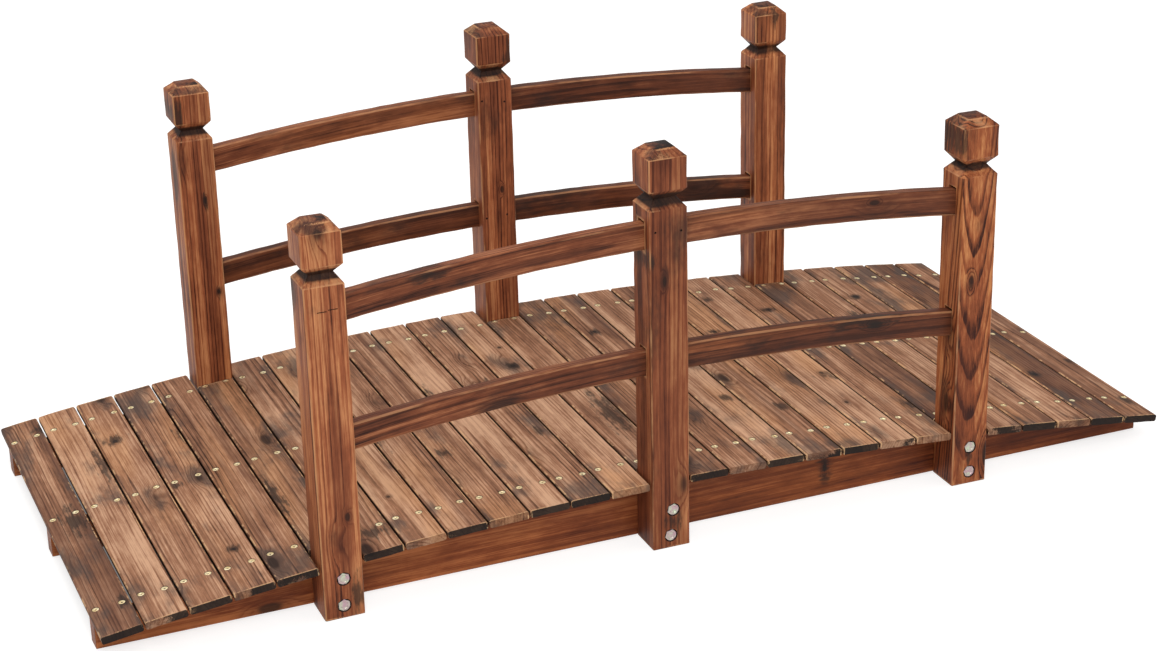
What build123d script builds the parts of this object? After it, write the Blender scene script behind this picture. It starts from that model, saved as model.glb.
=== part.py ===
# Moon bridge: a small arched garden footbridge of stained softwood with a post and rail
# balustrade on each side. Lengths are in millimetres.
# X runs along the bridge, Y across it and Z up. The origin is on the ground, under the middle.
from build123d import *
from math import asin, cos, degrees, sin
import os

# Deck of cross planks; its length is measured along the bow
deck_length = 1494.5
plank_width = 51.5
plank_gap = 4.0
plank_thickness = 10.0
plank_edge_radius = 3.0
plank_overhang = 50.0
planks_per_bay = 8
short_plank_clearance = 0.5

# Three stringers, straight below and bowed above
stringer_thickness = 26.0
stringer_spread = 554.0
stringer_mid_height = 86.0
stringer_end_height = 32.0
stringer_inset = 3.0
stringer_edge_radius = 1.5

# Six posts that stand on the ground against the side stringers
post_width = 52.0
post_depth = 52.0
post_arris = 1.5
end_post_height = 518.0
middle_post_extra_height = 25.0
cap_height = 52.0
cap_bevel_run = 12.0
cap_bevel_rise = 11.0
groove_height = 25.0
groove_depth = 10.5

# Bowed rails, two in each bay, with their ends let into the posts
rail_height = 35.0
rail_thickness = 18.0
rail_arris = 2.0
rail_below_shoulder = 20.0
rail_spacing = 170.5
mortise_depth = 14.0
mortise_end_room = 3.5
mortise_side_room = 0.5
mortise_top_room = 3.0

# As many planks as fit, an equal number on each side of the middle one
planks_each_side = round((deck_length - plank_width) / 2 / (plank_width + plank_gap))
plank_count = 2 * planks_each_side + 1
plank_pitch = (deck_length - plank_width) / (plank_count - 1)
middle_plank = planks_each_side + 1

# The seat is the arc on which the planks lie
stringer_length = deck_length - 2 * stringer_inset
stringer_rise = stringer_mid_height - stringer_end_height
seat_radius = ((stringer_length / 2) ** 2 + stringer_rise**2) / (2 * stringer_rise)
seat_centre = stringer_mid_height - seat_radius

# Posts stand at the short planks
post_planks = [middle_plank + planks_per_bay * step for step in (-1, 0, 1)]
stringer_face = stringer_spread / 2
post_y = stringer_face + post_depth / 2
middle_post_height = end_post_height + middle_post_extra_height
full_plank_length = 2 * (stringer_face + plank_overhang)
short_plank_length = 2 * (stringer_face - short_plank_clearance)


def seat_angle(plank):
    """Angle of a plank's middle from the crown of the bow, in radians."""
    return (plank - middle_plank) * plank_pitch / seat_radius


def bow_height(crown, radius, x):
    """Height of an arc of this radius at x, where crown is its height at the middle."""
    return crown - radius + (radius**2 - x**2) ** 0.5


post_x = [seat_radius * sin(seat_angle(plank)) for plank in post_planks]

# The upper rail's top edge passes equally far below the shoulder of every post
end_post_inner = post_x[-1] - post_width / 2
top_edge_radius = (end_post_inner**2 + middle_post_extra_height**2) / (
    2 * middle_post_extra_height
)
rail_bow_radius = top_edge_radius - rail_height / 2
middle_shoulder = middle_post_height - cap_height - groove_height
upper_rail_middle = middle_shoulder - rail_below_shoulder - rail_height / 2
lower_rail_middle = upper_rail_middle - rail_spacing

os.makedirs("parts", exist_ok=True)


def save(part, name):
    """Label a finished piece and write it under its own name."""
    part.label = name
    export_step(part, f"parts/{name}.step")


# Deck planks lie tangent to the seat, and those between posts are cut short
for plank in range(1, plank_count + 1):
    tilt = seat_angle(plank)
    lift = seat_radius + plank_thickness / 2
    plank_plane = Plane(
        origin=(lift * sin(tilt), 0, seat_centre + lift * cos(tilt)),
        x_dir=(cos(tilt), 0, -sin(tilt)),
        z_dir=(0, -1, 0),
    )
    length = short_plank_length if plank in post_planks else full_plank_length
    with BuildPart() as deck_plank:
        with BuildSketch(plank_plane):
            RectangleRounded(plank_width, plank_thickness, plank_edge_radius)
        extrude(amount=length / 2, both=True)
    save(deck_plank.part, f"plank_{plank:02d}")

# Stringers: the two sides and the one under the middle of the deck
side_stringer_y = stringer_face - stringer_thickness / 2
stringer_places = {
    "near": -side_stringer_y,
    "middle": 0,
    "far": side_stringer_y,
}
half_length = stringer_length / 2
for place, y in stringer_places.items():
    with BuildPart() as stringer:
        with BuildSketch(Plane.XZ.offset(-y)):
            with BuildLine():
                Polyline(
                    (-half_length, stringer_end_height),
                    (-half_length, 0),
                    (half_length, 0),
                    (half_length, stringer_end_height),
                )
                ThreePointArc(
                    (half_length, stringer_end_height),
                    (0, stringer_mid_height),
                    (-half_length, stringer_end_height),
                )
            make_face()
        extrude(amount=stringer_thickness / 2, both=True)
        lower_edges = stringer.edges().filter_by(Axis.X)
        fillet(lower_edges, stringer_edge_radius)
    save(stringer.part, f"stringer_{place}")

# Posts carry a faceted cap above a neck cut as a V, and mortises for the rail ends
rail_crowns = {"lower": lower_rail_middle, "upper": upper_rail_middle}
post_names = ("left", "middle", "right")
bays_at_post = ((1,), (-1, 1), (-1,))
for side, sign in (("near", -1), ("far", 1)):
    y = sign * post_y
    for name, x, bays in zip(post_names, post_x, bays_at_post):
        height = middle_post_height if name == "middle" else end_post_height
        cap_base = height - cap_height
        neck = cap_base - groove_height / 2
        shoulder = cap_base - groove_height
        cap_brim = height - cap_bevel_rise
        with BuildPart() as post:
            with BuildSketch(Plane((x, y, 0))) as foot:
                Rectangle(post_width, post_depth)
                chamfer(foot.vertices(), post_arris)
            extrude(amount=shoulder)
            for wide_level in (shoulder, cap_base):
                with BuildSketch(Plane((x, y, wide_level))) as lip:
                    Rectangle(post_width, post_depth)
                    chamfer(lip.vertices(), post_arris)
                with BuildSketch(Plane((x, y, neck))) as waist:
                    Rectangle(post_width - 2 * groove_depth, post_depth - 2 * groove_depth)
                    chamfer(waist.vertices(), post_arris)
                loft()
            with BuildSketch(Plane((x, y, cap_base))) as cap:
                Rectangle(post_width, post_depth)
                chamfer(cap.vertices(), post_arris)
            extrude(amount=cap_brim - cap_base)
            with BuildSketch(Plane((x, y, cap_brim))) as brim:
                Rectangle(post_width, post_depth)
                chamfer(brim.vertices(), post_arris)
            with BuildSketch(Plane((x, y, height))) as top:
                Rectangle(post_width - 2 * cap_bevel_run, post_depth - 2 * cap_bevel_run)
                chamfer(top.vertices(), post_arris)
            loft()
            # Each mortise floor follows the bow of the rail that rests on it
            for bay in bays:
                mouth = x + bay * post_width / 2
                bottom = mouth - bay * mortise_depth
                middle = (mouth + bottom) / 2
                for crown in rail_crowns.values():
                    floor_crown = crown - rail_height / 2
                    floor_radius = rail_bow_radius - rail_height / 2
                    roof_crown = crown + rail_height / 2 + mortise_top_room
                    roof_radius = rail_bow_radius + rail_height / 2 + mortise_top_room
                    floor = [
                        (at, bow_height(floor_crown, floor_radius, at))
                        for at in (mouth, middle, bottom)
                    ]
                    roof = [
                        (at, bow_height(roof_crown, roof_radius, at))
                        for at in (bottom, middle, mouth)
                    ]
                    with BuildSketch(Plane.XZ.offset(-y)):
                        with BuildLine():
                            ThreePointArc(*floor)
                            Line(floor[-1], roof[0])
                            ThreePointArc(*roof)
                            Line(roof[-1], floor[0])
                        make_face()
                    extrude(
                        amount=rail_thickness / 2 + mortise_side_room,
                        both=True,
                        mode=Mode.SUBTRACT,
                    )
        save(post.part, f"post_{side}_{name}")

# Rails run from mortise to mortise, bent to one bow along each side and cut square at the ends
tenon = mortise_depth - mortise_end_room
for side, sign in (("near", -1), ("far", 1)):
    for bay_name, left_post, right_post in (
        ("left", post_x[0], post_x[1]),
        ("right", post_x[1], post_x[2]),
    ):
        start = left_post + post_width / 2 - tenon
        end = right_post - post_width / 2 + tenon
        start_angle = asin(start / rail_bow_radius)
        end_angle = asin(end / rail_bow_radius)
        for level, crown in rail_crowns.items():
            section_plane = Plane(
                origin=(start, sign * post_y, bow_height(crown, rail_bow_radius, start)),
                x_dir=(0, 1, 0),
                z_dir=(cos(start_angle), 0, -sin(start_angle)),
            )
            bow_axis = Axis((0, sign * post_y, crown - rail_bow_radius), (0, 1, 0))
            with BuildPart() as rail:
                with BuildSketch(section_plane) as section:
                    Rectangle(rail_thickness, rail_height)
                    chamfer(section.vertices(), rail_arris)
                revolve(axis=bow_axis, revolution_arc=degrees(end_angle - start_angle))
            save(rail.part, f"rail_{side}_{bay_name}_{level}")
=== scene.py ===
# %% [markdown]
# # Moon bridge: dressing the timber
# The solids of the bridge come ready made. This lesson gives them a photographer's
# camera and light, turns the plain solids into worn and scorched boards, and adds the
# screws, bolts and nail holes that hold a real garden bridge together.

import random
from functools import partial
from math import atan2, copysign, cos, hypot, pi, radians, sin
from types import SimpleNamespace

import bmesh
import bpy
from mathutils import Matrix, Quaternion, Vector, noise


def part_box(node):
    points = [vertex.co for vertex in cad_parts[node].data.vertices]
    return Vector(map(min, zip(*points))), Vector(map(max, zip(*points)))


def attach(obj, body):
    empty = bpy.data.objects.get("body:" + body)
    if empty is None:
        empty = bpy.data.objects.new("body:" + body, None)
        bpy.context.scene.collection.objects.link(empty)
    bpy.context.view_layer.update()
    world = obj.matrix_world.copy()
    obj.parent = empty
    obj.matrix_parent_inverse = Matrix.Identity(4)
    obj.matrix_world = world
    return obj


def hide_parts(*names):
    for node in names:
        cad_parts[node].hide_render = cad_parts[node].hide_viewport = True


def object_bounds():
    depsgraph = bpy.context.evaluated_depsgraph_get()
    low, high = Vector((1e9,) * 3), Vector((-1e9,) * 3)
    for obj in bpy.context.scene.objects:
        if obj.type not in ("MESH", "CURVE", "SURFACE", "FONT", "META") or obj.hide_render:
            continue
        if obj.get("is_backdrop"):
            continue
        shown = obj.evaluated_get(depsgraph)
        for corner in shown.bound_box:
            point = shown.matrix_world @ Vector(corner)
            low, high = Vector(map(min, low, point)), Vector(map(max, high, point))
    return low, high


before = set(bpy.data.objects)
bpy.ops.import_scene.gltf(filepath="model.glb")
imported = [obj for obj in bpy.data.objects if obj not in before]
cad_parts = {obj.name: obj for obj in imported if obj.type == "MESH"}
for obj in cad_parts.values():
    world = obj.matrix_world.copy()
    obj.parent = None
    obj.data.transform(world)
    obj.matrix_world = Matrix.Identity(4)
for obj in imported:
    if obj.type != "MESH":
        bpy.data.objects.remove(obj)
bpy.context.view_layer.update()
MM = 0.001

# %% [markdown]
# ## Sizes that the dressing needs
# The planks are tangent to one big arc and the rails bend round another. Both arcs are
# found again from the boxes of the solids, so that this script and they can't disagree.

# %% Sizes
PLANKS = 27
PLANK_THICKNESS = 10 * MM
SEAT_RISE = 54 * MM
PLANK_PITCH = 55.5 * MM
plank_names = [f"plank_{number:02d}" for number in range(1, PLANKS + 1)]
post_names = sorted(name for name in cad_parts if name.startswith("post_"))
rail_names = sorted(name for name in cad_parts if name.startswith("rail_"))
stringer_names = sorted(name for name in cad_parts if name.startswith("stringer_"))


def bow(length, rise):
    """Radius of an arc from its length across the ends and its rise."""
    return ((length / 2) ** 2 + rise**2) / (2 * rise)


seat_low, seat_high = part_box("stringer_near")
seat_radius = bow(seat_high.x - seat_low.x, SEAT_RISE)
seat_centre = seat_high.z - seat_radius
plank_step = PLANK_PITCH / seat_radius
print("seat radius", round(seat_radius, 3), "m")

# %% [markdown]
# ## Camera
# The photograph was taken from the left, well above the deck, with a longish lens, so
# the two balustrades nearly keep their height from front to back. The camera is placed
# by its direction and distance from a point on the deck, then rolled a little.

# %% Camera
camera_data = bpy.data.cameras.new("camera")
camera = bpy.data.objects.new("camera", camera_data)
bpy.context.scene.collection.objects.link(camera)
bpy.context.scene.camera = camera
camera_data.sensor_width = 36
camera_data.lens = 76.91
camera_distance = 3542.6 * MM
camera_turn, camera_rise, camera_roll = radians(-21.989), radians(22.529), radians(-1.418)
looked_at = Vector((46.48, 81.07, 150)) * MM
back = Vector(
    (sin(camera_turn) * cos(camera_rise), -cos(camera_turn) * cos(camera_rise), sin(camera_rise))
)
camera.location = looked_at + back * camera_distance
camera.rotation_mode = "QUATERNION"
camera.rotation_quaternion = (-back).to_track_quat("-Z", "Y") @ Quaternion(
    (0, 0, 1), camera_roll
)
print("camera at", [round(v, 3) for v in camera.location])

# %% [markdown]
# ## Colours and nodes
# Paint and photo programs give colours as hex numbers on the sRGB scale. The renderer
# counts light on a straight scale, so one function changes the one into the other. One
# more adds a node with its settings and its links, which keeps the materials short. Its
# mode can follow its kind, so "Math ADD" is a Math node that adds.

# %% Helpers
MODES = {
    "MapRange": "interpolation_type",
    "Math": "operation",
    "Mix": "data_type",
    "TexWhiteNoise": "noise_dimensions",
    "VectorMath": "operation",
}


def colour(code):
    """An sRGB hex colour on the straight scale that the renderer uses."""
    parts = [int(code[at : at + 2], 16) / 255 for at in (1, 3, 5)]
    return (*[p / 12.92 if p <= 0.04045 else ((p + 0.055) / 1.055) ** 2.4 for p in parts], 1)


def add(tree, kind, *feeds, **named):
    """Add a node and give back its first output.

    Feeds go to its open sockets in order, and the rest to a socket or setting by name.
    A feed is another node's output, a hex colour or a plain value.
    """
    kind, _, mode = kind.partition(" ")
    node = tree.nodes.new("ShaderNode" + kind)
    if mode:
        setattr(node, MODES[kind], mode)
    fed = list(zip([socket for socket in node.inputs if socket.enabled], feeds))
    for name, value in named.items():
        socket = node.inputs.get(name.replace("_", " "))
        if socket is None:
            setattr(node, name, value)
        else:
            fed.append((socket, value))
    for socket, value in fed:
        if isinstance(value, bpy.types.NodeSocket):
            tree.links.new(value, socket)
        else:
            socket.default_value = colour(value) if isinstance(value, str) else value
    return next((socket for socket in node.outputs if socket.enabled), None)


def new_material(name):
    """An empty material and its node tree."""
    material = bpy.data.materials.new(name)
    material.use_nodes = True
    material.node_tree.nodes.clear()
    return material, material.node_tree


# %% [markdown]
# ## Floor and light
# A catalogue picture is lit by big soft boxes over a white sweep. The paper is pale and
# takes the shadow of the bridge. Rays that come straight from the camera see it a little
# brighter, so that it reads as white without more light on the wood, but not below the
# deck: there the paper stays darker as painted shade, so that the gaps between the planks look
# dark.

# %% Floor
FLOOR_HALF = 30
FLOOR_DROP = 0.4 * MM
bm = bmesh.new()
bmesh.ops.create_grid(bm, x_segments=2, y_segments=2, size=FLOOR_HALF)
bmesh.ops.translate(bm, verts=bm.verts, vec=(0, 0, -FLOOR_DROP))
floor_mesh = bpy.data.meshes.new("studio_floor")
bm.to_mesh(floor_mesh)
bm.free()
floor = bpy.data.objects.new("studio_floor", floor_mesh)
bpy.context.scene.collection.objects.link(floor)
floor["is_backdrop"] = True
print("floor", 2 * FLOOR_HALF, "m wide")

# %% [markdown]
# The patch that isn't brightened is painted shade, a rectangle below the deck with a soft
# rim. The Mapping node scales it to 1 at its edges, and the larger of the two distances
# from its middle tells how far out a point lies.

# %% Paper
material, tree = new_material("white_studio_paper")
rays = add(tree, "LightPath").node.outputs
seen = add(tree, "Math MAXIMUM", rays["Is Camera Ray"], rays["Is Glossy Ray"])
seen = add(tree, "Math MAXIMUM", seen, rays["Is Transmission Ray"])
place = add(tree, "TexCoord").node.outputs["Object"]
reach = add(tree, "Mapping", place, Scale=(1.33, 2.96, 0), Location=(0, -0.155, 0))
along, wide, _ = add(tree, "SeparateXYZ", add(tree, "VectorMath ABSOLUTE", reach)).node.outputs
outside = add(tree, "Math MAXIMUM", along, wide)
# Painted shade: below the deck the paper gets no glow, so it stays darker there.
outside = add(tree, "MapRange SMOOTHSTEP", outside, 0.86, 1.0, 0.0, 0.75)
glow = add(tree, "Emission", "#ffffff", outside)
bright = add(tree, "AddShader", add(tree, "BsdfDiffuse", "#b3b1af"), glow)
paper = add(tree, "MixShader", seen, add(tree, "BsdfDiffuse", "#ededed"), bright)
add(tree, "OutputMaterial", paper)
floor.data.materials.append(material)
print("paper with", len(tree.nodes), "nodes")

# %% [markdown]
# The room around the sweep is white too. The wood gets about half of its light, and the
# camera sees it as plain white paper.

# %% World
world = bpy.data.worlds.new("studio")
bpy.context.scene.world = world
world.use_nodes = True
tree = world.node_tree
tree.nodes.clear()
room = add(tree, "Background", "#ffffff", 0.55)
plain = add(tree, "Background", "#ffffff", 1.0)
rays = add(tree, "LightPath").node.outputs
add(tree, "OutputWorld", add(tree, "MixShader", rays["Is Camera Ray"], room, plain))
print("world with", len(tree.nodes), "nodes")

# %% [markdown]
# Three large square lamps give soft light: the key from the front left, a weak fill from
# the right, and one above the deck.

# %% Lamps
LAMP_AIM = Vector((0, 0, 0.2))


def soft_box(name, place, size, power):
    """A square lamp that faces the middle of the bridge."""
    lamp = bpy.data.lights.new(name, "AREA")
    lamp.size = size
    lamp.energy = power
    box = bpy.data.objects.new(name, lamp)
    bpy.context.scene.collection.objects.link(box)
    box.location = place
    box.rotation_mode = "QUATERNION"
    box.rotation_quaternion = (LAMP_AIM - Vector(place)).to_track_quat("-Z", "Y")
    print(name, size, "m wide,", power, "W")


soft_box("key_box", (-0.9, -2.9, 2.9), 1.8, 58)
soft_box("fill_box", (2.6, -2.6, 1.8), 2.2, 18)
soft_box("top_box", (-0.6, 0.8, 3.3), 2.4, 44)
bpy.context.scene.view_settings.view_transform = "Standard"

# %% [markdown]
# ## Wood
# The boards are sawn fir that was scorched with a torch, brushed and stained. A board
# is a slice of a log, and its figure is the log's year rings cut by its faces. So each
# board carries its place in the log as an attribute, and the material draws rings by
# distance from the heart. Lines on the faces and arcs on the ends then meet by
# themselves, and the rings bend round knots and drift along the length.
#
# Everything on the wood is uneven in the same few ways, so these come first: streaks
# about 4 mm wide and 500 mm long, fibres 1.5 mm wide and 75 mm long, which is coarser
# than real ones so that they show, mottling about 40 by 110 mm, and grit of 7 by 24 mm.


# %% Notes and grain
def grain(fir, across, along, detail=3.0, rough=0.5):
    """Unevenness with so many cycles a metre across and along the grain."""
    stretched = fir.add("Mapping", fir.log, Scale=(across, along, across))
    return fir.add("TexNoise", stretched, Scale=1.0, Detail=detail, Roughness=rough)


def pushed(fir, amount, *pushes):
    """An amount pushed up and down by unevennesses, each by about a third of its reach."""
    for unevenness, reach in pushes:
        push = fir.add("Math SUBTRACT", unevenness, 0.5)
        amount = fir.add("Math MULTIPLY_ADD", push, reach, amount)
    return amount


def start_fir(name):
    """A new fir with the notes from the bench work and the grain that finishes share."""
    material, tree = new_material(name)
    fir = SimpleNamespace(material=material, add=partial(add, tree))
    notes = {
        note: fir.add("Attribute", attribute_name=note).node.outputs
        for note in ("log", "board", "finish", "end_gap", "press", "knot", "burn")
    }
    fir.log = notes["log"]["Vector"]
    across, fir.place, thick = fir.add("SeparateXYZ", notes["board"]["Vector"]).node.outputs
    fir.across, fir.thick = fir.add("Math ABSOLUTE", across), fir.add("Math ABSOLUTE", thick)
    fir.tone, fir.char, fir.worn = fir.add("SeparateXYZ", notes["finish"]["Vector"]).node.outputs
    fir.end_gap, fir.press = notes["end_gap"]["Fac"], notes["press"]["Fac"]
    fir.to_knot = fir.add("VectorMath LENGTH", notes["knot"]["Vector"])
    fir.to_burn = fir.add("VectorMath LENGTH", notes["burn"]["Vector"])
    fir.streaks = grain(fir, 230, 2.0, 3.0, 0.6)
    fir.fibres = grain(fir, 700, 13, 4.0, 0.7)
    fir.mottle = grain(fir, 26, 9, 4.0, 0.6)
    fir.grit = grain(fir, 150, 42, 4.0, 0.65)
    return fir


# %% [markdown]
# ## Knots and rings
# A knot is where a branch left the log. A Voronoi pattern scatters them, in cells about
# 75 mm across and 190 mm along, and a board may name one of its own where the real one
# has it. A year ring is pale where it grew in spring and dark where it grew late, so the
# part of a ring that a point lies in gives its darkness, and no two rings are as dark.


# %% Knots and rings
def find_knots(fir):
    """Note the dark core of the knots and the halo round them."""
    cells = fir.add("Mapping", fir.log, Scale=(13.0, 5.2, 13.0))
    scattered = fir.add("TexVoronoi", cells, Scale=1.0, Randomness=0.9)
    own = fir.add("Math MULTIPLY", fir.to_knot, 0.10)
    way = fir.add("Math MINIMUM", scattered, own)
    way = pushed(fir, way, (fir.streaks, 0.05), (fir.fibres, 0.04))
    fir.knot_core = fir.add("MapRange SMOOTHSTEP", way, 0.06, 0.11, 1.0, 0.0)
    fir.knot_halo = fir.add("MapRange SMOOTHSTEP", way, 0.07, 0.30, 1.0, 0.0)


def grow_rings(fir, ring_mm):
    """Note how late in its year the wood of a point grew."""
    across, _, thick = fir.add("SeparateXYZ", fir.log).node.outputs
    ring_at = fir.add("VectorMath LENGTH", fir.add("CombineXYZ", across, 0.0, thick))
    drift, waver = grain(fir, 7, 1.5, 2.0), grain(fir, 60, 5, 2.0)
    ring_at = pushed(fir, ring_at, (drift, 0.020), (waver, 0.0035))
    bend = fir.add("Math MULTIPLY", fir.knot_halo, fir.knot_halo)
    ring_at = fir.add("Math MULTIPLY_ADD", bend, 0.011, ring_at)
    rings = fir.add("Math MULTIPLY", ring_at, 1000 / ring_mm)
    part = fir.add("Math FRACT", rings)
    darker = fir.add("MapRange SMOOTHSTEP", part, 0.42, 0.86)
    winter = fir.add("MapRange SMOOTHSTEP", part, 0.92, 1.0, 1.0, 0.0)
    late = fir.add("Math MULTIPLY", darker, winter)
    each = fir.add("TexWhiteNoise 1D", fir.add("Math FLOOR", rings))
    fir.late = fir.add("Math MULTIPLY", late, fir.add("Math MULTIPLY_ADD", each, 0.85, 0.15))


# %% [markdown]
# ## Stain
# The stain went in deeper in some bands than in others, and late wood takes more of it.
# One depth adds all of that up and picks the colour from a ramp of three. Resin turned
# parts of a board golden, and long bands came out the colour of plums.


# %% Stain
def stain(fir, look):
    """The colour of the stained wood."""
    bands = fir.add("MapRange SMOOTHSTEP", grain(fir, 62, 1.0, 2.0), 0.36, 0.64)
    depth = pushed(
        fir,
        fir.add("Math ADD", fir.tone, 0.42),
        (bands, look.banded), (fir.streaks, 0.66), (fir.fibres, 1.05), (fir.mottle, 0.80),
        (fir.grit, 0.40),
    )
    depth = fir.add("Math MULTIPLY_ADD", fir.late, look.ring_ink, depth)
    stained = fir.add("ValToRGB", depth)
    ramp = stained.node.color_ramp
    ramp.elements[0].position, ramp.elements[0].color = 0.08, colour(look.light)
    ramp.elements[1].position, ramp.elements[1].color = 0.95, colour(look.dark)
    ramp.elements.new(0.48).color = colour(look.middle)
    resin = grain(fir, 13, 2.4, 2.0)
    resin = fir.add("MapRange SMOOTHSTEP", resin, 0.50, 0.66, 0.0, look.gold_full)
    resin = fir.add("Math MULTIPLY", resin, fir.add("Math SUBTRACT", 1.0, depth))
    skin = fir.add("Mix RGBA", resin, stained, look.gold)
    bands = fir.add("Math ADD", grain(fir, 36, 1.6, 3.0), fir.tone)
    bands = fir.add("MapRange SMOOTHSTEP", bands, 0.52, 0.66, 0.0, look.plum_full)
    return fir.add("Mix RGBA", bands, skin, look.plum)


# %% [markdown]
# ## Soot and burns
# Soot from the torch lies in smoky patches. It is thicker round knots, towards the ends,
# at the screw rows of the deck and on the bevels of the caps. Where the torch rested, a
# board names a burn, and grit and grain make its outline ragged.


# %% Soot and burns
def soot(fir, look, skin):
    """Lay soot over the skin, then the knots and the burns."""
    smoke = grain(fir, 17, 6.5, 5.0, 0.62)
    smoke = fir.add("Math MULTIPLY_ADD", fir.knot_halo, 0.12, smoke)
    smoke = fir.add("Math MULTIPLY_ADD", fir.tone, 0.25, smoke)
    if look.side_soot:
        edge = fir.add("MapRange SMOOTHSTEP", fir.across, 0.55, 1.0, 0.0, 0.035)
        smoke = fir.add("Math ADD", smoke, edge)
    else:
        bevel = fir.add("Math MAXIMUM", fir.across, fir.thick)
        bevel = fir.add("MapRange SMOOTHSTEP", bevel, 0.95, 0.99, 0.11, 0.0)
        cap = fir.add("MapRange SMOOTHSTEP", fir.place, 0.93, 0.94)
        smoke = fir.add("Math MULTIPLY_ADD", bevel, cap, smoke)
    for row in look.screw_rows:
        off_row = fir.add("Math ABSOLUTE", fir.add("Math SUBTRACT", fir.place, row))
        at_row = fir.add("MapRange SMOOTHSTEP", off_row, 0.02, 0.13, 0.055, 0.0)
        smoke = fir.add("Math ADD", smoke, at_row)
    outer = fir.add("Math ABSOLUTE", fir.place)
    outer = fir.add("MapRange SMOOTHSTEP", outer, 0.80, 1.0, 0.0, 0.05)
    smoke = fir.add("Math ADD", smoke, outer)
    full_at = look.soot_from + 0.17
    smoke = fir.add("MapRange SMOOTHSTEP", smoke, look.soot_from, full_at, 0.0, look.soot_full)
    skin = fir.add("Mix RGBA", smoke, skin, look.soot)
    skin = fir.add("Mix RGBA", fir.add("Math MULTIPLY", fir.knot_halo, 0.35), skin, look.dark)
    skin = fir.add("Mix RGBA", fir.add("Math MULTIPLY", fir.knot_core, 0.80), skin, "#24150f")
    way = pushed(fir, fir.to_burn, (fir.grit, 4.5), (fir.streaks, 3.0), (fir.fibres, 1.6))
    burn = fir.add("MapRange SMOOTHSTEP", way, 0.25, 1.5, 0.80, 0.0)
    return fir.add("Mix RGBA", burn, skin, "#211a17")


# %% [markdown]
# ## Dark faces and worn arrises
# The side faces in the gaps of the deck are darkened, partly with soot and partly as painted
# shade, and so are the faces set back into the necks and mortises of the posts, partly as
# char that the brush missed and partly as painted shade. Ends drink the stain and char black,
# more on some boards than on others. Arrises are rubbed back to paler wood by the brush and
# by handling, and the holes of screws, bolts and nails, the rings round them and a crack
# are darkened as crushed fibres and painted shade.


# %% Dark faces
def darken(fir, look, skin):
    """Darken the deck's gap faces and the posts' recesses with soot, char and painted shade, and
    char the ends.
    """
    if look.side_soot:
        # Painted shade with some soot on the side faces in the deck's gaps.
        side = fir.add("MapRange SMOOTHSTEP", fir.across, 0.982, 0.997, 0.0, look.side_soot)
        skin = fir.add("Mix RGBA", side, skin, "#2c1b12")
        fir.open_faces = 1.0
    else:
        # Painted shade, partly char, on the faces set back into the necks and mortises.
        recess_shade = fir.add("Math MAXIMUM", fir.across, fir.thick)
        recess_shade = fir.add("Math MULTIPLY_ADD", fir.char, -0.22, recess_shade)
        recess_shade = fir.add("MapRange SMOOTHSTEP", recess_shade, 0.60, 0.84, 1.0, 0.0)
        off_end = fir.add("MapRange SMOOTHSTEP", fir.end_gap, 17.0, 24.0)
        recess_shade = fir.add("Math MULTIPLY", recess_shade, off_end)
        recess_shade = fir.add("Math MULTIPLY", recess_shade, pushed(fir, 1.0, (fir.mottle, 2.2)))
        recess_shade = fir.add("MapRange SMOOTHSTEP", recess_shade, 0.05, 0.75)
        skin = fir.add("Mix RGBA", fir.add("Math MULTIPLY", recess_shade, 0.90), skin, "#1b1411")
        fir.open_faces = fir.add("Math SUBTRACT", 1.0, recess_shade)
    end = pushed(fir, fir.end_gap, (fir.fibres, 1.0))
    end = fir.add("MapRange SMOOTHSTEP", end, 0.25, 0.85, 1.0, 0.0)
    skin = fir.add("Mix RGBA", fir.add("Math MULTIPLY", end, 0.40), skin, look.dark)
    char = pushed(fir, fir.char, (fir.mottle, 1.7), (fir.fibres, 0.5))
    char = fir.add("MapRange SMOOTHSTEP", char, 0.42, 0.58, 0.0, 0.92)
    fir.off_ends = fir.add("Math SUBTRACT", 1.0, end)
    return fir.add("Mix RGBA", fir.add("Math MULTIPLY", end, char), skin, "#14100e")


# %% Worn arrises
def rub(fir, look, skin):
    """Rub the arrises and the rims of the ends pale, and darken the holes and the rings round them
    as crushed fibres and painted shade.
    """
    worn = pushed(fir, fir.worn, (fir.mottle, 1.8), (fir.fibres, 0.8))
    worn = fir.add("MapRange SMOOTHSTEP", worn, 0.80, 1.15)
    worn = fir.add("Math MULTIPLY", worn, fir.off_ends)
    rim = fir.add("MapRange SMOOTHSTEP", fir.end_gap, 1.6, 2.8, 1.0, 0.0)
    rim = fir.add("Math MULTIPLY", rim, fir.off_ends)
    broken = pushed(fir, fir.mottle, (fir.fibres, 0.8))
    broken = fir.add("MapRange SMOOTHSTEP", broken, 0.46, 0.58)
    rim = fir.add("Math MULTIPLY", rim, broken)
    if look.side_soot:
        inside = fir.add("MapRange SMOOTHSTEP", fir.across, 0.90, 0.94)
        on_top = fir.add("MapRange SMOOTHSTEP", fir.across, 0.975, 0.985, 1.0, 0.0)
        broken = fir.add("MapRange SMOOTHSTEP", grain(fir, 40, 30, 4.0, 0.7), 0.50, 0.60)
        long_rim = fir.add("Math MULTIPLY", fir.add("Math MULTIPLY", inside, on_top), broken)
        rim = fir.add("Math MAXIMUM", rim, long_rim)
    worn = fir.add("Math MULTIPLY", fir.add("Math MAXIMUM", worn, rim), look.rub_full)
    worn = fir.add("Math MULTIPLY", worn, fir.open_faces)
    skin = fir.add("Mix RGBA", worn, skin, look.rub)
    # Crushed fibres and painted shade darken the holes, the rings round them and the crack.
    crushed_and_shaded = fir.add("MapRange SMOOTHSTEP", fir.press, 0.2, 1.0, 0.0, 0.9)
    return fir.add("Mix RGBA", crushed_and_shaded, skin, "#1a100c")
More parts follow.
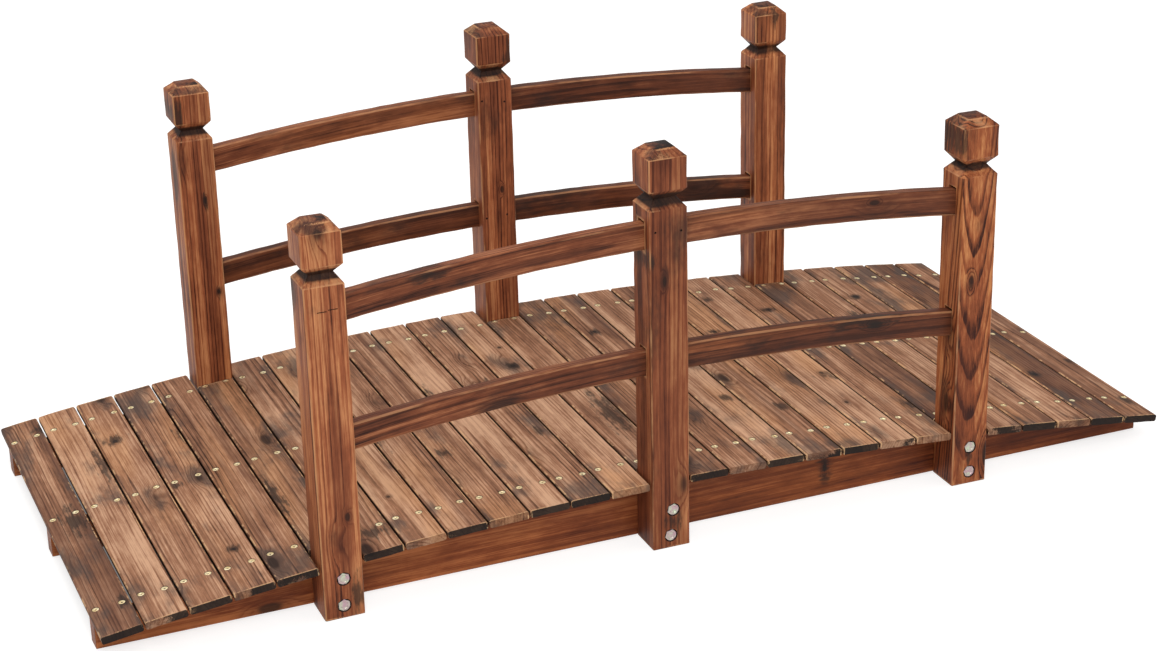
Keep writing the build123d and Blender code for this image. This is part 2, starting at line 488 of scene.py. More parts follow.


# %% [markdown]
# ## Five kinds of finished fir
# The deck was brushed most and is the greyest and dullest. The posts and rails are
# redder, and the stringers were planed before they were stained. The near right post was
# sawn flat through the rings, so its rings get more ink. Each kind gives its colours as
# hex, the width of a ring, how much of each mark it takes, and how dull it is. Only the
# deck has side faces darkened with soot and painted shade, and screw rows, which lie at
# shares of a plank's half length.


# %% Finish
def scorched_fir(name, side_soot=0.0, screw_rows=(), **amounts):
    """Fir with one finish, from its colours and amounts."""
    look = SimpleNamespace(side_soot=side_soot, screw_rows=screw_rows, **amounts)
    fir = start_fir(name)
    find_knots(fir)
    grow_rings(fir, look.ring_mm)
    skin = stain(fir, look)
    for work in (soot, darken, rub):
        skin = work(fir, look, skin)
    height = fir.add("Math MULTIPLY", fir.add("Math ADD", fir.fibres, fir.late), 0.6)
    # Burnt and brushed wood has no film on it, so it mirrors less than varnished wood
    shader = fir.add(
        "BsdfPrincipled",
        Base_Color=skin,
        Roughness=pushed(fir, look.dull, (fir.fibres, 0.25)),
        IOR=1.5,
        Specular_IOR_Level=0.17,
        Normal=fir.add("Bump", Strength=0.5, Distance=0.4 * MM, Height=height),
    )
    fir.add("OutputMaterial", shader)
    print(name, "with", len(fir.material.node_tree.nodes), "nodes")
    return fir.material


# %% Kinds
deck_fir = scorched_fir(
    "deck_fir_torched_and_brushed",
    light="#cda07f", middle="#98694d", dark="#42261a", gold="#ca8c54", plum="#613e2f",
    soot="#483f3b", rub="#e6b887", gold_full=0.40, ring_mm=4.6, ring_ink=0.40, banded=0.26,
    plum_full=0.50, soot_from=0.53, soot_full=0.72, side_soot=0.92, rub_full=0.66, dull=0.66,
    screw_rows=(-0.79, 0.02, 0.83),
)
post_fir = scorched_fir(
    "post_fir_torched_and_stained",
    light="#c9895a", middle="#965333", dark="#3d190e", gold="#cd7f46", plum="#5d2d1b",
    soot="#34211a", rub="#d49c6c", gold_full=0.30, ring_mm=5.0, ring_ink=0.38, banded=0.36,
    plum_full=0.45, soot_from=0.58, soot_full=0.75, rub_full=0.60, dull=0.55,
)
flat_sawn_post_fir = scorched_fir(
    "post_fir_flat_sawn_and_stained",
    light="#c98855", middle="#934e2d", dark="#34150c", gold="#cc824a", plum="#582a1a",
    soot="#33211b", rub="#d09a6e", gold_full=0.30, ring_mm=4.8, ring_ink=0.60, banded=0.24,
    plum_full=0.40, soot_from=0.60, soot_full=0.75, rub_full=0.60, dull=0.55,
)
rail_fir = scorched_fir(
    "rail_fir_torched_and_stained",
    light="#b0724c", middle="#753f27", dark="#2e140b", gold="#ad6a3d", plum="#4c291b",
    soot="#2b1d18", rub="#c88f64", gold_full=0.30, ring_mm=4.5, ring_ink=0.34, banded=0.26,
    plum_full=0.40, soot_from=0.55, soot_full=0.75, rub_full=0.50, dull=0.5,
)
stringer_fir = scorched_fir(
    "stringer_fir_planed_and_stained",
    light="#b86f42", middle="#814122", dark="#451c0e", gold="#bb743f", plum="#572918",
    soot="#2e1a13", rub="#b3744a", gold_full=0.25, ring_mm=6.0, ring_ink=0.25, banded=0.24,
    plum_full=0.40, soot_from=0.62, soot_full=0.7, rub_full=0.45, dull=0.5,
)

# %% [markdown]
# ## From a solid to a board
# Each solid has the right shape and size, so a copy of its mesh is the sawn blank. It
# is turned level on a bench, cut across into slices and along the edges into strips,
# and its vertices keep notes for the material: the place in the log, the place on the
# board from -1 to 1, and the finish, which is tone, char and wear. Then its arrises are
# worn back a little, more in one place than in the next.


# %% Knots and burns
# Across a board, along it and the two half sizes, in mm. On a post, along is up from the
# ground, and on a rail or stringer across is up from the middle.
KNOTS = {
    "plank_03": ((-3, 177, 4, 6),), "plank_04": ((3, -218, 3, 4),), "plank_08": ((-6, -196, 3, 4),),
    "plank_13": ((5, 106, 4, 5), (11, 177, 3, 4)), "plank_16": ((-7, 174, 3, 5),),
    "plank_19": ((-8, 110, 3, 4),), "plank_20": ((13, -82, 4, 5), (-4, -189, 3, 5)),
    "plank_21": ((1, 170, 4, 5),), "plank_24": ((-6, 191, 5, 5),), "plank_26": ((-13, -159, 4, 6),),
    "post_near_left": ((10.5, 137, 4, 7),), "post_near_middle": ((-6, 372, 3, 9),),
    "post_near_right": ((-8, 295, 4, 11),), "post_far_middle": ((6, 300, 3, 6),),
    "post_far_left": ((16, 214.5, 2.5, 4), (8, 352.6, 2, 5)),
    "rail_near_right_upper": ((6.6, 75, 4, 8),), "rail_near_right_lower": ((7, 82, 5, 11),),
    "stringer_near": ((-2, 250, 9, 3),),
}
BURNS = {
    "plank_01": ((10, -15, 14, 34), (24, 290, 9, 16), (19, -256, 8, 20)),
    "plank_02": ((22, 110, 7, 55),), "plank_03": ((-3, 182, 13, 14),),
    "plank_04": ((26, 140, 6, 40), (-17, -4, 10, 8), (4, -216, 8, 9)),
    "plank_06": ((-22, -110, 7, 50),), "plank_07": ((6, -276, 16, 15),),
    "plank_09": ((-20, -22, 8, 28),), "plank_10": ((-11, -115, 8, 12),),
    "plank_11": ((-25, 76, 8, 22),), "plank_12": ((4, 60, 12, 14), (14, -116, 9, 15)),
    "plank_13": ((5, 106, 8, 9),), "plank_14": ((12, -115, 14, 60),),
    "plank_16": ((-7, 172, 12, 10),), "plank_17": ((12, -118, 10, 10),),
    "plank_18": ((16, -172, 8, 14),), "plank_19": ((-8, 110, 7, 9),),
    "plank_20": ((-16, 234, 8, 9), (12, -95, 12, 15)),
    "plank_21": ((-6, 169, 11, 8), (22, -222, 8, 13)), "plank_23": ((8, 120, 9, 12),),
    "plank_24": ((-6, 191, 12, 8),), "plank_26": ((-13, -159, 9, 12),),
    "plank_27": ((13, -273, 9, 11), (20, -118, 6, 12)),
    "post_near_left": ((21, 36, 8, 20),), "post_near_middle": ((3, 36, 7, 13), (-24, 400, 6, 12)),
    "post_near_right": ((-1, 36, 4, 11), (-26, 492, 5, 22)),
    "post_far_left": ((-22, 480, 8, 18), (8, 352, 4, 8), (17, 214, 6, 8)),
    "post_far_middle": ((24, 500, 8, 24),), "post_far_right": ((6, 505, 6, 14),),
    "rail_near_left_upper": ((12, -84, 8, 20),), "rail_near_right_lower": ((14, 60, 8, 60),),
    "stringer_near": ((-4, 250, 20, 8),),
}
print("boards with knots:", len(KNOTS), "and with burns:", len(BURNS))


# %% Bench work
X, Y, Z = 0, 1, 2
END_RIM = 2.5 * MM
POST_SEED, RAIL_SEED, STRINGER_SEED = 40, 60, 80
PLANK_WEAR, POST_WEAR, RAIL_WEAR, STRINGER_WEAR = 0.7 * MM, 0.9 * MM, 0.8 * MM, 0.6 * MM


def blank(node, to_bench):
    """A merged copy of a solid's mesh, laid on the bench."""
    bm = bmesh.new()
    bm.from_mesh(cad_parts[node].data)
    bmesh.ops.remove_doubles(bm, verts=bm.verts, dist=0.005 * MM)
    bmesh.ops.transform(bm, matrix=to_bench, verts=bm.verts)
    bmesh.ops.dissolve_limit(
        bm, angle_limit=radians(0.3), verts=bm.verts, edges=bm.edges, delimit={"NORMAL"}
    )
    return bm


def slice_board(bm, axis, places, rooms=()):
    """Cut the board with planes square to an axis, keep both sides, and spare the rooms."""
    normal = Vector((0, 0, 0))
    normal[axis] = 1
    for place in places:
        if not any(low < place < high for low, high in rooms):
            bmesh.ops.bisect_plane(
                bm,
                geom=bm.verts[:] + bm.edges[:] + bm.faces[:],
                dist=0.02 * MM,
                plane_co=normal * place,
                plane_no=normal,
            )


def steps(low, high, step):
    """Even places from low to high, about one step apart, without the two ends."""
    count = max(1, round((high - low) / step))
    return [low + (high - low) * at / count for at in range(1, count)]


def half_sizes(bm):
    """Half the length of the board's box along each axis."""
    return Vector([max(abs(v.co[axis]) for v in bm.verts) for axis in range(3)])


def find_arrises(bm):
    """Note how much each vertex sits on an arris: 0 on a flat, 1 on a corner."""
    bm.normal_update()
    worn = bm.verts.layers.float.new("worn")
    bm.verts.layers.float.new("press")
    for v in bm.verts:
        normals = [f.normal for f in v.link_faces]
        turn = max((a.angle(b, 0) for a in normals for b in normals), default=0)
        v[worn] = min(1, turn / radians(40))


# %% Notes on a board
def marks_on(table, board, foot=0):
    """A board's knots or burns in metres, in their order along it."""
    found = [[size * MM for size in spot] for spot in table.get(board, ())]
    return sorted(([a, l - foot, *reach] for a, l, *reach in found), key=lambda spot: spot[1])


def way_to(spots, a, l):
    """The way to the nearest mark in its own half sizes, with every second one turned round."""
    if not spots:
        return Vector((9, 9, 9))
    nearest = min(range(len(spots)), key=lambda at: abs(l - spots[at][1]))
    spot = spots[nearest]
    return Vector(((a - spot[0]) / spot[2], (l - spot[1]) / spot[3], 0)) * (-1) ** nearest


def note(bm, half, along, heart, seed, tone, chars, knots, burns, fade=0):
    """Write the notes for the material into the mesh."""
    layer = bm.verts.layers
    log, board, finish = (layer.float_vector.new(name) for name in ("log", "board", "finish"))
    knot, burn = layer.float_vector.new("knot"), layer.float_vector.new("burn")
    end_gap, worn = layer.float.new("end_gap"), layer.float["worn"]
    across, thick = [axis for axis in range(3) if axis != along]
    heart_across, heart_thick, heart_slope = heart
    for v in bm.verts:
        a, l, d = v.co[across], v.co[along], v.co[thick]
        v[log] = Vector((a - heart_across, l + seed * 3.1, d - heart_thick - heart_slope * l))
        v[board] = Vector((a / half[across], l / half[along], d / half[thick]))
        char = (chars[0] if l < 0 else chars[1]) + chars[2] * a / half[across]
        v[finish] = Vector((tone + fade * l / half[along], char, v[worn]))
        v[end_gap] = (half[along] - abs(l)) / MM
        seen = d if along == X else a
        v[knot], v[burn] = way_to(knots, seen, l), way_to(burns, seen, l)


# %% Wear and finish
def wear_back(bm, seed, along, deep):
    """Wear the arrises back by up to deep, in bites that are longer along the grain."""
    bm.normal_update()
    worn = bm.verts.layers.float["worn"]
    for v in bm.verts:
        if v[worn] > 0.4:
            place = v.co.copy()
            place[along] *= 0.5
            bite = max(0, noise.noise(place * 90 + Vector((seed * 7.3, 0, 0))) + 0.15)
            v.co -= v.normal * bite * deep * v[worn]


def finished(bm, name, node, material, from_bench):
    """Put the board where its solid is, in place of it."""
    bmesh.ops.transform(bm, matrix=from_bench, verts=bm.verts)
    mesh = bpy.data.meshes.new(name)
    bm.to_mesh(mesh)
    bm.free()
    mesh.materials.append(material)
    mesh.shade_smooth()
    mesh.set_sharp_from_angle(angle=radians(28))
    piece = bpy.data.objects.new(name, mesh)
    bpy.context.scene.collection.objects.link(piece)
    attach(piece, "root")
    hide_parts(node)


# %% [markdown]
# ## Holes
# Screws, bolts and nails sit in real holes. The face under the drill is cut with four
# planes to a square, the square's edges are divided and drawn out to a circle, and the
# circle is inset and pressed down. Only that face and its neighbours change, so the rest
# of the board keeps its plain slices. A hole is given by its radius, the run of its wall,
# its depth and the width of the ring round it. The ring and the hole are darkened as crushed
# fibres and painted shade.

# %% Drilling
SCREW_HOLE = (4.6 * MM, 0.3 * MM, 0.9 * MM, 0.9 * MM)
NAIL_HOLE = (1.3 * MM, 0.3 * MM, 2.5 * MM, 0.7 * MM)
BOLT_DEPTH = 5.8 * MM
BOLT_HOLE = (9.0 * MM, 0.1 * MM, BOLT_DEPTH, 0.5 * MM)


def face_under(bm, spot, way):
    """The outermost face that a drill at this spot meets, where way points out of the wood."""
    met = [
        face
        for face in bm.faces
        if face.normal.dot(way) > 0.99 and bmesh.geometry.intersect_face_point(face, spot)
    ]
    return max(met, key=lambda face: face.verts[0].co.dot(way))


def cut_square(bm, spot, way, reach):
    """Cut that face with four planes, and give back the part between them."""
    sides = [axis for axis in range(3) if abs(way[axis]) < 0.5]
    for axis, room in zip(sides, reach):
        for turn in (-1, 1):
            bm.normal_update()
            face = face_under(bm, spot, way)
            normal = Vector((0, 0, 0))
            normal[axis] = turn
            bmesh.ops.bisect_plane(
                bm,
                geom=[face, *face.edges, *face.verts],
                dist=0.001 * MM,
                plane_co=spot + normal * room,
                plane_no=normal,
            )
    bm.normal_update()
    return face_under(bm, spot, way)


def sink(bm, spot, way, radius, wall, depth, halo):
    """Drill a round hole with a flat floor, inside a ring, and mark both for crushed fibres and
    painted shade.
    """
    floor_face = cut_square(bm, spot, way, (radius + halo, radius + halo))
    bmesh.ops.bisect_edges(bm, edges=floor_face.edges[:], cuts=3)
    for v in floor_face.verts:
        arm = v.co - spot
        arm -= arm.dot(way) * way
        v.co += arm.normalized() * (radius + halo) - arm
    press = bm.verts.layers.float["press"]
    bmesh.ops.inset_individual(bm, faces=[floor_face], thickness=halo, use_even_offset=True)
    for v in floor_face.verts:
        v[press] = 1
    bmesh.ops.inset_individual(
        bm, faces=[floor_face], thickness=wall, depth=-depth, use_even_offset=True
    )
    for v in floor_face.verts:
        v[press] = 1


def score(bm, spot, way, reach, depth):
    """Open a short crack and mark its floor for crushed fibres and painted shade."""
    floor_face = cut_square(bm, spot, way, reach)
    bmesh.ops.inset_individual(bm, faces=[floor_face], thickness=min(reach) * 0.4, depth=-depth)
    press = bm.verts.layers.float["press"]
    for v in floor_face.verts:
        v[press] = 1


# %% [markdown]
# ## Deck planks
# The planks lie tangent to the bow, so each bench is turned by the plank's own angle.
# Screws go in three rows, two to a stringer. Some planks are paler or darker than the
# rest, and some ends are charred black while others stay brown. Damp has swollen them
# across the grain, so the gaps are narrower than the solids leave them, but the two
# outermost faces stay where they are, within the bridge's own length.

# %% Plank benches
UP = Vector((0, 0, 1))
SWELLING = 0.9 * MM
SCREW_OUT = 15.5 * MM
SCREW_ROWS = (-258.0 * MM, 7.0 * MM, 271.0 * MM)
SCREW_ROOM = 6.5 * MM
HEAD_RADIUS = 4.3 * MM
HEAD_SINK = 0.25 * MM
PLANK_SLICE, PLANK_STRIPS = 14 * MM, (-8 * MM, 0, 8 * MM)
lighter = {2: -0.12, 3: -0.14, 8: -0.08, 11: -0.14, 13: -0.10, 17: -0.10, 20: -0.10, 24: -0.05}
darker = {1: 0.06, 4: 0.02, 12: 0.08, 15: 0.06, 18: 0.05, 22: 0.12, 26: 0.12, 27: 0.10}
black_ends = (1, 3, 7, 9, 11, 12, 15, 17, 19, 24, 26, 27)
brown_ends = (8, 10, 13, 21, 25)
half_black_ends = (2, 4)
BLACK_CHAR, BROWN_CHAR, USUAL_CHAR, CHAR_SLOPE = 0.95, 0.15, 0.5, 0.6
PALER_MIDDLE = 0.05


def plank_bench(number):
    """Matrix that sets a plank from the middle of the world onto its seat."""
    turn = (number - (PLANKS + 1) / 2) * plank_step
    lift = seat_radius + PLANK_THICKNESS / 2
    return Matrix.Translation(
        (lift * sin(turn), 0, seat_centre + lift * cos(turn))
    ) @ Matrix.Rotation(turn, 4, "Y")


def screw_places(dice):
    """Places of a plank's screws on its bench, each a little off the line."""
    places = []
    for row in SCREW_ROWS:
        for side in (-1, 1):
            x = side * SCREW_OUT + dice.uniform(-1.2, 1.2) * MM
            y = row + dice.uniform(-2.5, 2.5) * MM
            places.append(Vector((x, y, PLANK_THICKNESS / 2)))
    return places


# %% Planks
screws_at = []
for number, node in enumerate(plank_names, start=1):
    dice = random.Random(number)
    bench = plank_bench(number)
    bm = blank(node, bench.inverted())
    for v in bm.verts:
        outermost = v.co.x < 0 if number == 1 else v.co.x > 0 and number == PLANKS
        if not outermost:
            v.co.x += copysign(SWELLING, v.co.x)
    half = half_sizes(bm)
    holes = screw_places(dice)
    rooms = [(place.y - SCREW_ROOM, place.y + SCREW_ROOM) for place in holes]
    slice_board(bm, Y, steps(-half.y, half.y, PLANK_SLICE), rooms)
    slice_board(bm, X, PLANK_STRIPS)
    slice_board(bm, Y, [END_RIM - half.y, half.y - END_RIM])
    slice_board(bm, Z, [0])
    find_arrises(bm)
    wear_back(bm, number, Y, PLANK_WEAR)
    for place in holes:
        sink(bm, place, UP, *SCREW_HOLE)
    tone = lighter.get(number, 0) + darker.get(number, 0) + dice.uniform(-0.04, 0.04)
    tone -= PALER_MIDDLE if 7 < number < 24 else 0
    near_char = BLACK_CHAR if number in black_ends else USUAL_CHAR
    near_char = BROWN_CHAR if number in brown_ends else near_char
    slope = CHAR_SLOPE if number in half_black_ends else 0
    heart_turn, heart_off = dice.uniform(0, 1.25), dice.uniform(50, 120) * MM
    side = dice.choice((-1, 1))
    heart = (side * heart_off * cos(heart_turn), -heart_off * sin(heart_turn), 0.01 * side)
    chars = (near_char, dice.uniform(0.1, 0.9), slope)
    marks = marks_on(KNOTS, node), marks_on(BURNS, node)
    note(bm, half, Y, heart, number, tone, chars, *marks)
    finished(bm, f"deck_plank_{number:02d}", node, deck_fir, bench)
    screws_at += [(bench, place, dice.uniform(0, pi)) for place in holes]
print(len(screws_at), "screws to drive")

# %% [markdown]
# ## Posts
# The posts stand on end, so their grain runs up. The solid already has the V-cut neck,
# the faceted cap and the mortises. Where a post's heart lies beside it, its outer face
# shows straight lines; the heart of the near right post lies just behind the outer face
# and leans towards it, so that face shows tall arches.

# %% Post sizes
CAP_HEIGHT = 52 * MM
CAP_BEVEL_RISE = 11 * MM
GROOVE_HEIGHT = 25 * MM
BOLT_HEIGHTS = (17 * MM, 53.5 * MM)
BOLT_SPAN, NAIL_SPAN, CRACK_SPAN = 11 * MM, 3.5 * MM, 2.5 * MM
CRACK_HEIGHT = 409.5 * MM
CRACK_REACH, CRACK_DEPTH = (6.0 * MM, 0.8 * MM), 1.4 * MM
POST_SLICE, POST_RIM, LIP_RIM = 12 * MM, 2.9 * MM, 2.2 * MM

# Tone, char on the cap, then the heart's place across and behind the middle, and its lean
post_looks = {
    "near_left": (0.02, 0.28, (-82, 14, 0.01)),
    "near_middle": (0.13, 0.62, (66, 20, 0.012)),
    "near_right": (0.03, 0.12, (-4, 14, -0.08)),
    "far_left": (0.02, 0.30, (-70, 26, 0.012)),
    "far_middle": (0.03, 0.30, (75, -8, 0.012)),
    "far_right": (-0.03, 0.40, (-62, -20, 0.015)),
}
# Nail holes: post, across, height, and 1 for the face towards the deck
nail_holes = (
    ("near_middle", -18, 438.6, 0), ("near_middle", 17, 436.2, 0),
    ("far_middle", -20, 438.0, 1), ("far_middle", 14, 433.0, 1),
    ("far_middle", -20, 258.5, 1), ("far_middle", 12, 260.0, 1),
    ("far_middle", -18, 437.0, 0), ("far_middle", 17, 437.0, 0),
)

# %% Posts
bolts_at = []
for number, node in enumerate(post_names, start=1):
    name = node.removeprefix("post_")
    low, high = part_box(node)
    bench = Matrix.Translation((low + high) / 2)
    out = Vector((0, -1 if "near" in node else 1, 0))
    bm = blank(node, bench.inverted())
    half = half_sizes(bm)
    dice = random.Random(10 * POST_SEED + number)
    bolts = [
        Vector((dice.uniform(-1, 3) * MM, out.y * half.y, up - half.z)) for up in BOLT_HEIGHTS
    ]
    nails = []
    for post, across, up, inward in nail_holes:
        if post == name:
            way = -out if inward else out
            nails.append((Vector((across * MM, way.y * half.y, up * MM - half.z)), way))
    rooms = [(spot.z - BOLT_SPAN, spot.z + BOLT_SPAN) for spot in bolts]
    rooms += [(spot.z - NAIL_SPAN, spot.z + NAIL_SPAN) for spot, way in nails]
    crack = Vector((0, out.y * half.y, CRACK_HEIGHT - half.z))
    rooms.append((crack.z - CRACK_SPAN, crack.z + CRACK_SPAN))
    slice_board(bm, Z, steps(-half.z, half.z, POST_SLICE), rooms)
    for below_top in (0, CAP_BEVEL_RISE, CAP_HEIGHT, CAP_HEIGHT + GROOVE_HEIGHT):
        lip = half.z - below_top
        slice_board(bm, Z, [lip - LIP_RIM, lip + LIP_RIM])
    slice_board(bm, Z, [END_RIM - half.z])
    for axis in (X, Y):
        slice_board(bm, axis, [POST_RIM - half[axis], half[axis] - POST_RIM])
    find_arrises(bm)
    for spot in bolts:
        sink(bm, spot, out, *BOLT_HOLE)
        bolts_at.append((bench @ spot, out, dice.uniform(0, pi / 3)))
    for spot, way in nails:
        sink(bm, spot, way, *NAIL_HOLE)
    if name == "near_left":
        for across, up in ((-4.5, -0.5), (9.5, 0.9)):
            spot = crack + Vector((across, 0, up)) * MM
            score(bm, spot, out, CRACK_REACH, CRACK_DEPTH)
    tone, cap_char, heart = post_looks[name]
    marks = marks_on(KNOTS, node, half.z), marks_on(BURNS, node, half.z)
    heart = (heart[0] * MM, -out.y * heart[1] * MM, -out.y * heart[2])
    note(bm, half, Z, heart, POST_SEED + number, tone, (0.3, cap_char, 0), *marks)
    wear_back(bm, POST_SEED + number, Z, POST_WEAR)
    fir = flat_sawn_post_fir if name == "near_right" else post_fir
    finished(bm, node.replace("post", "dressed_post"), node, fir, bench)
print(len(post_names), "posts and", len(bolts_at), "bolt holes")

# %% [markdown]
# ## Rails
# A rail is bent to the bow. On the bench it is unrolled: the distance along the arc
# becomes its length and the distance from the arc's centre its height, so that the
# slices and the grain follow the bend. The bow is found again from the posts: its top
# edge passes equally far below the shoulder of each. After the work the rail is bent
# back by the same sum turned round.

# %% Rails
RAIL_HEIGHT = 35 * MM
BELOW_SHOULDER = 20 * MM
RAIL_SPACING = 170.5 * MM
RAIL_SLICE, RAIL_RIM = 12 * MM, 3.2 * MM
end_post_low, end_post_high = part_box("post_near_right")
middle_post_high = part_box("post_near_middle")[1]
top_edge_radius = bow(2 * end_post_low.x, middle_post_high.z - end_post_high.z)
rail_bow = top_edge_radius - RAIL_HEIGHT / 2
shoulder = middle_post_high.z - CAP_HEIGHT - GROOVE_HEIGHT
upper_crown = shoulder - BELOW_SHOULDER - RAIL_HEIGHT / 2
print("rails bend to a radius of", round(rail_bow, 3), "m")
rail_tones = {
    "near_left_upper": 0.09, "near_left_lower": 0.08,
    "near_right_upper": 0.13, "near_right_lower": 0.20,
    "far_left_upper": -0.03, "far_left_lower": 0.17,
    "far_right_upper": 0.12, "far_right_lower": 0.08,
}
for number, node in enumerate(rail_names, start=1):
    low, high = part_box(node)
    crown = upper_crown if "upper" in node else upper_crown - RAIL_SPACING
    centre = Vector((0, (low.y + high.y) / 2, crown - rail_bow))
    bm = blank(node, Matrix.Translation(-centre))
    for v in bm.verts:
        v.co = Vector((atan2(v.co.x, v.co.z) * rail_bow, v.co.y, hypot(v.co.x, v.co.z) - rail_bow))
    middle = (max(v.co.x for v in bm.verts) + min(v.co.x for v in bm.verts)) / 2
    bmesh.ops.translate(bm, verts=bm.verts, vec=(-middle, 0, 0))
    half = half_sizes(bm)
    slice_board(bm, X, steps(-half.x, half.x, RAIL_SLICE))
    for axis in (Y, Z):
        slice_board(bm, axis, [RAIL_RIM - half[axis], half[axis] - RAIL_RIM])
    find_arrises(bm)
    dice = random.Random(10 * RAIL_SEED + number)
    heart = (dice.choice((-1, 1)) * dice.uniform(35, 70) * MM, dice.uniform(-40, 40) * MM, 0.02)
    tone = rail_tones[node.removeprefix("rail_")]
    marks = marks_on(KNOTS, node), marks_on(BURNS, node)
    note(bm, half, X, heart, RAIL_SEED + number, tone, (0.6, 0.6, 0), *marks)
    wear_back(bm, RAIL_SEED + number, X, RAIL_WEAR)
    for v in bm.verts:
        turn, reach = (v.co.x + middle) / rail_bow, rail_bow + v.co.z
        v.co = Vector((reach * sin(turn), v.co.y, reach * cos(turn)))
    bench = Matrix.Translation(centre)
    finished(bm, node.replace("rail", "dressed_rail"), node, rail_fir, bench)
print(len(rail_names), "rails")

# %% [markdown]
# ## Stringers
# These were planed, so they are smoother and take less soot, and they get darker
# towards the right. The near one has a dark knot between the middle and right posts.

# %% Stringers
STRINGER_SLICE, STRINGER_RIM = 22 * MM, 3 * MM
STRINGER_FADE = 0.20
for number, node in enumerate(stringer_names, start=1):
    low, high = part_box(node)
    bench = Matrix.Translation((low + high) / 2)
    bm = blank(node, bench.inverted())
    half = half_sizes(bm)
    slice_board(bm, X, steps(-half.x, half.x, STRINGER_SLICE))
    slice_board(bm, X, [END_RIM - half.x, half.x - END_RIM])
    slice_board(bm, Y, [STRINGER_RIM - half.y, half.y - STRINGER_RIM])
    slice_board(bm, Z, [STRINGER_RIM - half.z])
    find_arrises(bm)
    dice = random.Random(10 * STRINGER_SEED + number)
    heart = (dice.uniform(40, 70) * MM, dice.uniform(-25, 25) * MM, 0.01)
    marks = marks_on(KNOTS, node), marks_on(BURNS, node)
    seed = STRINGER_SEED + number
    note(bm, half, X, heart, seed, 0.0, (0.15, 0.5, 0), *marks, fade=STRINGER_FADE)
    wear_back(bm, seed, X, STRINGER_WEAR)
    finished(
        bm, node.replace("stringer", "dressed_stringer"), node, stringer_fir, bench
    )
print(len(stringer_names), "stringers")

# %% [markdown]
# ## Screws
# Countersunk screws with a recess for the driver, plated and dipped to a pale gold. The
# plate is satin and its tint uneven, so a head catches the light without a hard glint. A
# small grid makes the head: its rim is drawn out to a circle, and its middle face is
# pushed down as the recess, so that the faces beside it slope like the arms of a cross.


# %% Screw metal
def plated_steel(name, sheen, stain, rough):
    """Zinc plate over steel, which the dip tints unevenly in clouds of about 6 mm."""
    material, tree = new_material(name)
    place = add(tree, "TexCoord").node.outputs["Object"]
    tint = add(tree, "ValToRGB", add(tree, "TexNoise", place, Scale=160.0, Detail=2.0))
    ramp = tint.node.color_ramp
    ramp.elements[0].position, ramp.elements[0].color = 0.35, colour(sheen)
    ramp.elements[1].position, ramp.elements[1].color = 0.65, colour(stain)
    steel = add(tree, "BsdfPrincipled", Base_Color=tint, Metallic=0.85, Roughness=rough)
    add(tree, "OutputMaterial", steel)
    print(name, "tinted from", sheen, "to", stain)
    return material


screw_metal = plated_steel("screw_steel_yellow_zinc", "#fff1c9", "#e8cd96", 0.45)
bolt_metal = plated_steel("bolt_steel_clear_zinc", "#bcc3ac", "#b99aa2", 0.40)


# %% Screw heads
RECESS_DEPTH, CROWN = 0.9 * MM, 0.25 * MM


def screw_head(bm, matrix):
    """One countersunk head with its recess, set by a matrix."""
    made = bmesh.ops.create_grid(bm, x_segments=5, y_segments=5, size=1.0)["verts"]
    for v in made:
        reach = max(abs(v.co.x), abs(v.co.y))
        if reach > 0.9:
            v.co = v.co.normalized() * HEAD_RADIUS
        else:
            v.co = v.co * HEAD_RADIUS * 0.92
            v.co.z = -RECESS_DEPTH if reach < 0.3 else CROWN
    bmesh.ops.transform(bm, matrix=matrix, verts=made)


bm = bmesh.new()
for bench, place, turn in screws_at:
    seat = place - UP * HEAD_SINK
    screw_head(bm, bench @ Matrix.Translation(seat) @ Matrix.Rotation(turn, 4, "Z"))
mesh = bpy.data.meshes.new("deck_screws")
bm.to_mesh(mesh)
bm.free()
mesh.materials.append(screw_metal)
deck_screws = bpy.data.objects.new("deck_screws", mesh)
bpy.context.scene.collection.objects.link(deck_screws)
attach(deck_screws, "root")

# %% [markdown]
# ## Bolts
# Two hexagon bolts go through each post and its stringer, with their heads let in just
# below its face, and a washer and a nut on the inside of the stringer. A cone with six
# sides and equal radii is a hexagon bar. Its end face gets more corners, which are drawn
# in to a circle and pressed down, and the bar's own corners are turned off.


# %% Hexagons
FLATS = 14.3 * MM
HEAD_HEIGHT = 5.3 * MM
NUT_HEIGHT = 6.5 * MM
WASHER_THICKNESS = 1.5 * MM


def bar(segments, radius, length):
    """A bmesh with one bar of so many sides that stands on its seat."""
    bm = bmesh.new()
    bmesh.ops.create_cone(
        bm, cap_ends=True, segments=segments, radius1=radius, radius2=radius, depth=length
    )
    bmesh.ops.translate(bm, verts=bm.verts, vec=(0, 0, length / 2))
    bm.normal_update()
    return bm


def form(bm, name):
    """Keep a finished bmesh as a mesh that can be stamped many times."""
    mesh = bpy.data.meshes.new(name)
    bm.to_mesh(mesh)
    bm.free()
    return mesh


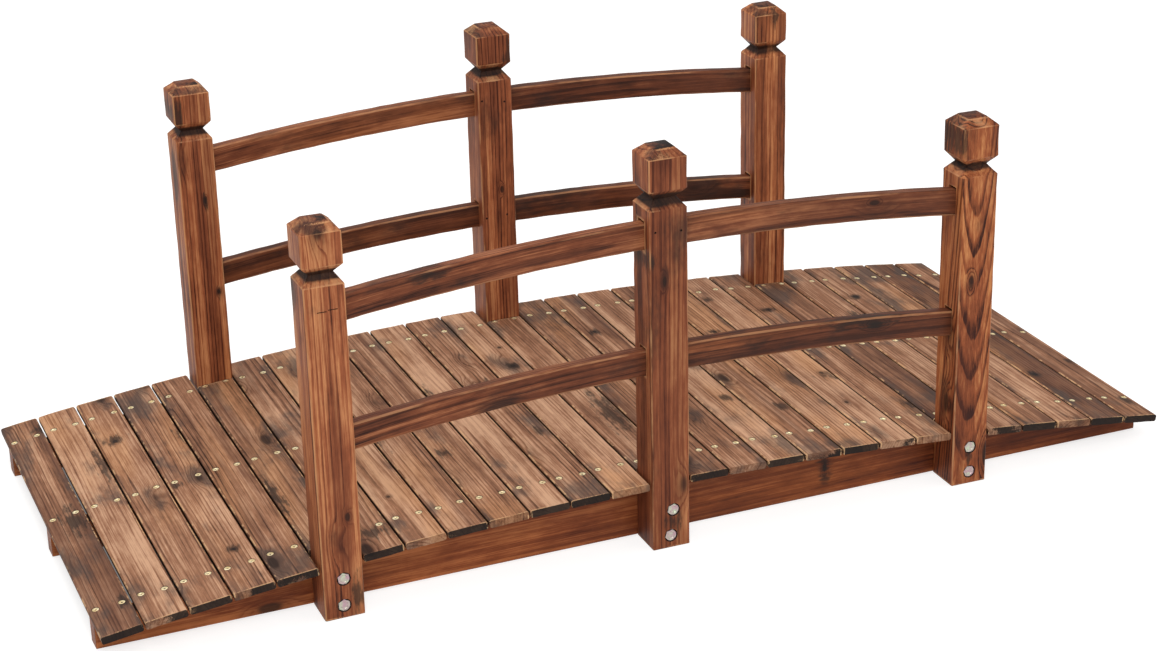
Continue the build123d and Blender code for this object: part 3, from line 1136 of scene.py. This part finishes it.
def hexagon(height, hollow):
    """A hexagon head or nut with its corners turned off and a hollow or a bolt end on top."""
    bm = bar(6, FLATS / 3**0.5, height)
    top = max(bm.faces, key=lambda face: face.normal.z)
    bmesh.ops.bisect_edges(bm, edges=top.edges[:], cuts=3)
    for v in top.verts:
        v.co.z -= max(0, v.co.xy.length - FLATS / 2) * 0.7
    for share, level in ((0.90, 0.0), (0.70, -0.15), (0.60, hollow), (0.25, hollow * 0.8)):
        bmesh.ops.inset_individual(bm, faces=[top], thickness=0.2 * MM)
        for v in top.verts:
            v.co = Vector((*(v.co.xy.normalized() * FLATS / 2 * share), height + level * MM))
    return form(bm, "hexagon")


def stamp(bm, mesh, matrix):
    """Add a copy of a form to a bmesh, set by a matrix."""
    before = len(bm.verts)
    bm.from_mesh(mesh)
    bm.verts.ensure_lookup_table()
    bmesh.ops.transform(bm, matrix=matrix, verts=bm.verts[before:])


# %% Bolts and nuts
head_form, nut_form = hexagon(HEAD_HEIGHT, -0.8), hexagon(NUT_HEIGHT, 1.8)
washer_form = form(bar(28, FLATS * 0.95, WASHER_THICKNESS), "washer")
heads, nuts = bmesh.new(), bmesh.new()
stringer_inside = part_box("stringer_far")[0].y
for spot, out, turn in bolts_at:
    outward, inward = (
        way.to_track_quat("Z", "Y").to_matrix().to_4x4() @ Matrix.Rotation(turn, 4, "Z")
        for way in (out, -out)
    )
    stamp(heads, head_form, Matrix.Translation(spot - out * BOLT_DEPTH) @ outward)
    inside = Vector((spot.x, out.y * stringer_inside, spot.z))
    stamp(nuts, washer_form, Matrix.Translation(inside) @ inward)
    stamp(nuts, nut_form, Matrix.Translation(inside - out * WASHER_THICKNESS) @ inward)
for bm, name in ((heads, "bolt_heads"), (nuts, "washers_and_nuts")):
    mesh = form(bm, name)
    mesh.materials.append(bolt_metal)
    piece = bpy.data.objects.new(name, mesh)
    bpy.context.scene.collection.objects.link(piece)
    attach(piece, "root")
    print(name, len(mesh.polygons), "faces")

# %% [markdown]
# ## The last step
# The box of the dressed bridge is printed in mm.

# %% Sizes and finish
low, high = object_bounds()
print("dressed box in mm:", [round(v / MM, 1) for v in (*low, *high)])
